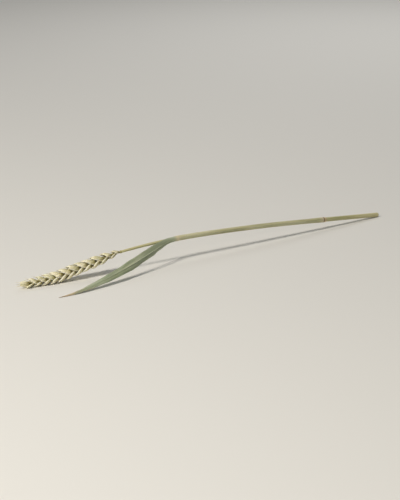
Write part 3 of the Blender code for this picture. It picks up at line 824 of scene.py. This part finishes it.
def bladeLine(a):
    # The blade's line: out of the sheath's mouth along the straw, then through the route's points.
    collar, along, _, side = (v[0] for v in stalkFrame(np.array([stalk["collarAt"]])))
    hug = sheathRadius(stalk["collarAt"]) - blade["solidThickness"] / 2
    off, high = hug * math.cos(blade["facesAtFoot"]), collar[2] + hug * math.sin(blade["facesAtFoot"])
    straight = [(b, off, high + b * along[2]) for b in (blade["foot"], 0.0, blade["hugsTo"])]
    away, height = through(straight + list(blade["route"]), a).T
    points = collar + along * a[:, None] - side * away[:, None]
    points[:, 2] = height
    return points


def addBlade():
    # Across the blade lies an arc, round the straw at its foot and nearly flat further on, folded a little
    # at its midrib, with waved margins. Veins stand up along it. Its foot rises out of the sheath.
    t, c = np.linspace(0, 1, blade["rows"])[:, None], np.linspace(-1, 1, blade["across"])[None]
    tip, foot, step = blade["route"][-1][0], blade["foot"], 0.001
    a = foot + (tip - foot) * t
    flatA, margin = a[:, 0], np.abs(c)
    ahead = unit(bladeLine(np.minimum(flatA + step, tip)) - bladeLine(np.maximum(flatA - step, foot)))
    outward = unit(np.cross((0.0, 0.0, 1.0), ahead))
    facesAt = blade["facesAtFoot"] + (blade["facesAtTip"] - blade["facesAtFoot"]) * smoothStep(t)
    face = outward * np.cos(facesAt) + np.cross(ahead, outward) * np.sin(facesAt)
    sideways = unit(np.cross(face, ahead))
    hug = sheathRadius(stalk["collarAt"]) - blade["solidThickness"] / 2
    curve = hug + (blade["openCurve"] - hug) * smoothStep((a - blade["hugsTo"]) / blade["opensOver"])
    width = blade["footWidth"] + (blade["width"] - blade["footWidth"]) * smoothStep(t / blade["widestAt"])
    taper = 1 - np.maximum(0.0, (t - blade["widestAt"]) / (1 - blade["widestAt"])) ** 2
    width = blade["tipWidth"] + (width - blade["tipWidth"]) * taper
    (wave, waves), (ripple, ripples) = blade["widthWave"], blade["widthRipple"]
    width = width * (1 + wave * np.sin(t * waves) + ripple * np.sin(t * ripples + blade["widthShift"]))
    toPoint = np.clip((t - 1 + blade["point"]) / blade["point"], 0, 1)
    width = width * (1 - blade["pointThins"] * toPoint ** blade["pointPower"])
    turn = c * width / curve / 2
    way = face[:, None] * np.cos(turn)[..., None] + sideways[:, None] * np.sin(turn)[..., None]
    ribsFrom = smoothStep((a - blade["opensFrom"]) / blade["wavesOver"])
    opening = ribsFrom * taper
    fold = blade["fold"] * np.exp(-margin / blade["foldHalf"])
    (ruffle, ruffles), (ripple, ripples), (curl, curls) = blade["ruffle"], blade["ripple"], blade["curl"]
    waved = ruffle * margin**3 * np.sin(t * ruffles + blade["ruffleShift"] * (c > 0))
    waved = waved + ripple * c**2 * np.sin(t * ripples)
    waved = waved - curl * margin**5 * (0.5 + 0.5 * np.sin(t * curls + blade["curlShift"] * np.sign(c)))
    uneven = 1 - blade["unevenRibs"] * (1 - np.sin(c * blade["unevenAcross"] + t * blade["unevenAlong"]))
    veins = blade["rib"] * uneven * np.cos(c * math.pi * blade["veins"]) * ribsFrom
    midrib = blade["midrib"] * bell(c / blade["midribHalf"]) * taper
    thick = blade["thickness"] * (1 - blade["marginThins"] * margin**6)
    thick = thick * (1 - blade["tipThins"] * (1 - taper))
    raised = blade["raised"] * (1 - smoothStep(a / blade["raisedOver"]))
    dipped = blade["dipped"] * (1 - smoothStep((a - foot) / blade["dippedOver"]))
    collar = blade["collar"] * bell((a - blade["collarAt"]) / blade["collarHalf"])
    middle = curve + (fold + waved) * opening - blade["sunk"] + raised - dipped
    outer, inner = middle + thick / 2 + midrib + veins + collar, middle - thick / 2 + veins
    axis = bladeLine(flatA) - face * curve
    points = folded(way * outer[..., None], way * inner[..., None]) + axis[:, None]
    across = folded(c, c)
    atCollar = blade["paleCollar"] * bell((a - blade["paleAt"]) / blade["paleHalf"])
    values = leafValues(a, across * width / 2, 0.0, across, t, atCollar)
    addLeafPiece("leaf_blade", points, values, blade)


# The two small parts at the collar. They have the sheath's look, but never dry to tan.
ligule = {
    "reach": 0.0010, "tallest": 0.0011, "torn": 0.00010, "sunk": 0.0015, "halfTurn": math.radians(160),
    "radius": 0.00163, "leansIn": 0.00008, "waves": (0.00003, 9), "thickness": 0.00009, "edgeThins": 0.5,
    "grown": 0.3, "pale": 0.85, "veins": 9, "driesFrom": 2.0, "rows": 14, "across": 70, "seed": 11,
    "look": sheath["look"],
}
auricles = {
    "from": math.radians(78), "reach": math.radians(60), "at": 0.0004, "rise": 0.0012,
    "halfWide": 0.00085, "wideTip": 0.00004, "halfThick": 0.00013, "thickTip": 0.00003,
    "radius": 0.00216, "clasp": (0.00022, 2.6), "tipOut": 0.00035,
    "grown": 0.3, "pale": 0.9, "veins": 3, "driesFrom": 2.0, "rows": 24, "around": 14,
    "look": sheath["look"],
}


def addLigule():
    # A thin torn membrane that stands up from the sheath's mouth round the straw, as high as a cosine that
    # is greatest behind the blade.
    t, v = np.linspace(-1, 1, ligule["across"])[None], np.linspace(0, 1, ligule["rows"])[:, None]
    turn = math.radians(-90) + ligule["halfTurn"] * t
    draw = np.random.default_rng(ligule["seed"])
    torn = draw.normal(0, ligule["torn"], (1, ligule["across"])) * v**3
    reach = ligule["reach"] + ligule["tallest"] * np.cos(t * math.pi / 2) + torn
    s = stalk["collarAt"] - ligule["sunk"] + (reach + ligule["sunk"]) * v
    wave, waves = ligule["waves"]
    outer = ligule["radius"] - ligule["leansIn"] * v + wave * np.sin(turn * waves) * v
    inner = outer - ligule["thickness"] * (1 - ligule["edgeThins"] * v)
    s, turn, radii, across = folded(s, s), folded(turn, turn), folded(outer, inner), folded(t, t)
    values = leafValues(s, radii * np.sin(turn), 0.0, across, ligule["grown"], ligule["pale"])
    points = around(s, radii, turn)
    addLeafPiece("ligule", points, values, ligule)


def addAuricles():
    # Two small horns that clasp the straw from the blade's margins: an oval that shrinks along an arc.
    v = np.linspace(0, 1, auricles["rows"])[None, :, None]
    side = np.array([-1.0, 1.0])[:, None, None]
    q = side * ringAngles(auricles["around"])[None, None]
    turn = math.radians(-90) + side * (auricles["from"] + auricles["reach"] * v)
    halfWide = auricles["halfWide"] * (1 - v) ** 0.7 + auricles["wideTip"]
    halfThick = auricles["halfThick"] * (1 - v) ** 0.5 + auricles["thickTip"]
    s = stalk["collarAt"] + auricles["at"] + auricles["rise"] * v**1.5 + halfWide * np.cos(q)
    clasp, turns = auricles["clasp"]
    radii = auricles["radius"] - clasp * np.sin(v * turns) + auricles["tipOut"] * v**4
    radii = radii + halfThick * np.sin(q)
    values = leafValues(s, radii * turn, 0.0, 0.5, auricles["grown"], auricles["pale"])
    addLeafPiece("auricles", around(s, radii, turn), values, auricles, "fan", 2)


addSheath()
addBlade()
addLigule()
addAuricles()

# The picture: a pale floor, soft light, and the camera low beside the ear, as the photograph was taken.
picture = {
    "azimuth": -35.4, "elevation": 16.5, "distance": 1.40, "lens": 119.0,
    "aimOff": (-0.0147, 0.0104, -0.006),   # how far off the middle of the object it aims
    "floor": "#DEDCD6", "floorHalf": 4.0, "floorAt": -0.00005,
    "world": "#E6E9EE", "worldStrength": 0.17,
    "lights": (   # name, azimuth, elevation, distance, size, watts, colour
        ("key", -80, 44, 2.0, 0.45, 34.0, "#FFFAF2"),
        ("fill", -40, 20, 2.0, 0.70, 4.5, "#FFFDF8"),
        ("rim", 130, 34, 1.8, 0.80, 7.0, "#FFFFFF"),
    ),
}


def lookFrom(thing, azimuth, elevation, distance, off=(0.0, 0.0, 0.0)):
    # Puts thing that far away, that way from the middle of the object, and turns it to look back.
    a, e = math.radians(azimuth), math.radians(elevation)
    way = Vector((math.sin(a) * math.cos(e), -math.cos(a) * math.cos(e), math.sin(e)))
    thing.location = (cadBox[0] + cadBox[1]) / 2 + Vector(off) + way * distance
    thing.rotation_euler = (-way).to_track_quat("-Z", "Y").to_euler()
    bpy.context.scene.collection.objects.link(thing)


def addStudio():
    # A plain pale matt floor, three softboxes and an even pale world.
    far, low = picture["floorHalf"], picture["floorAt"]
    mesh = bpy.data.meshes.new("floor")
    corners = [(x, y, low) for x, y in ((-far, -far), (far, -far), (far, far), (-far, far))]
    mesh.from_pydata(corners, [], [(0, 1, 2, 3)])
    matt = startMaterial("pale_matt_floor", {"Base Color": linear(picture["floor"]), "Roughness": 0.9})[0]
    mesh.materials.append(matt)
    floor = bpy.data.objects.new("floor", mesh)
    bpy.context.scene.collection.objects.link(floor)
    floor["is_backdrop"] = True
    for name, azimuth, elevation, distance, size, watts, colour in picture["lights"]:
        lamp = bpy.data.lights.new(name, "AREA")
        lamp.size, lamp.energy, lamp.color = size, watts, linear(colour)[:3]
        lookFrom(bpy.data.objects.new(name, lamp), azimuth, elevation, distance)
    world = bpy.data.worlds.new("studio")
    world.use_nodes = True
    background = world.node_tree.nodes["Background"]
    background.inputs["Color"].default_value = linear(picture["world"])
    background.inputs["Strength"].default_value = picture["worldStrength"]
    bpy.context.scene.world = world
    lens = bpy.data.cameras.new("camera")
    lens.lens, lens.sensor_width, lens.clip_start = picture["lens"], 36.0, 0.01
    camera = bpy.data.objects.new("camera", lens)
    lookFrom(camera, picture["azimuth"], picture["elevation"], picture["distance"], picture["aimOff"])
    bpy.context.scene.camera = camera
    bpy.context.scene.view_settings.view_transform = "Standard"


addStudio()
print("studio set")
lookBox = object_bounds()
sizes = {name: [list(corner) for corner in box] for name, box in (("cad", cadBox), ("look", lookBox))}
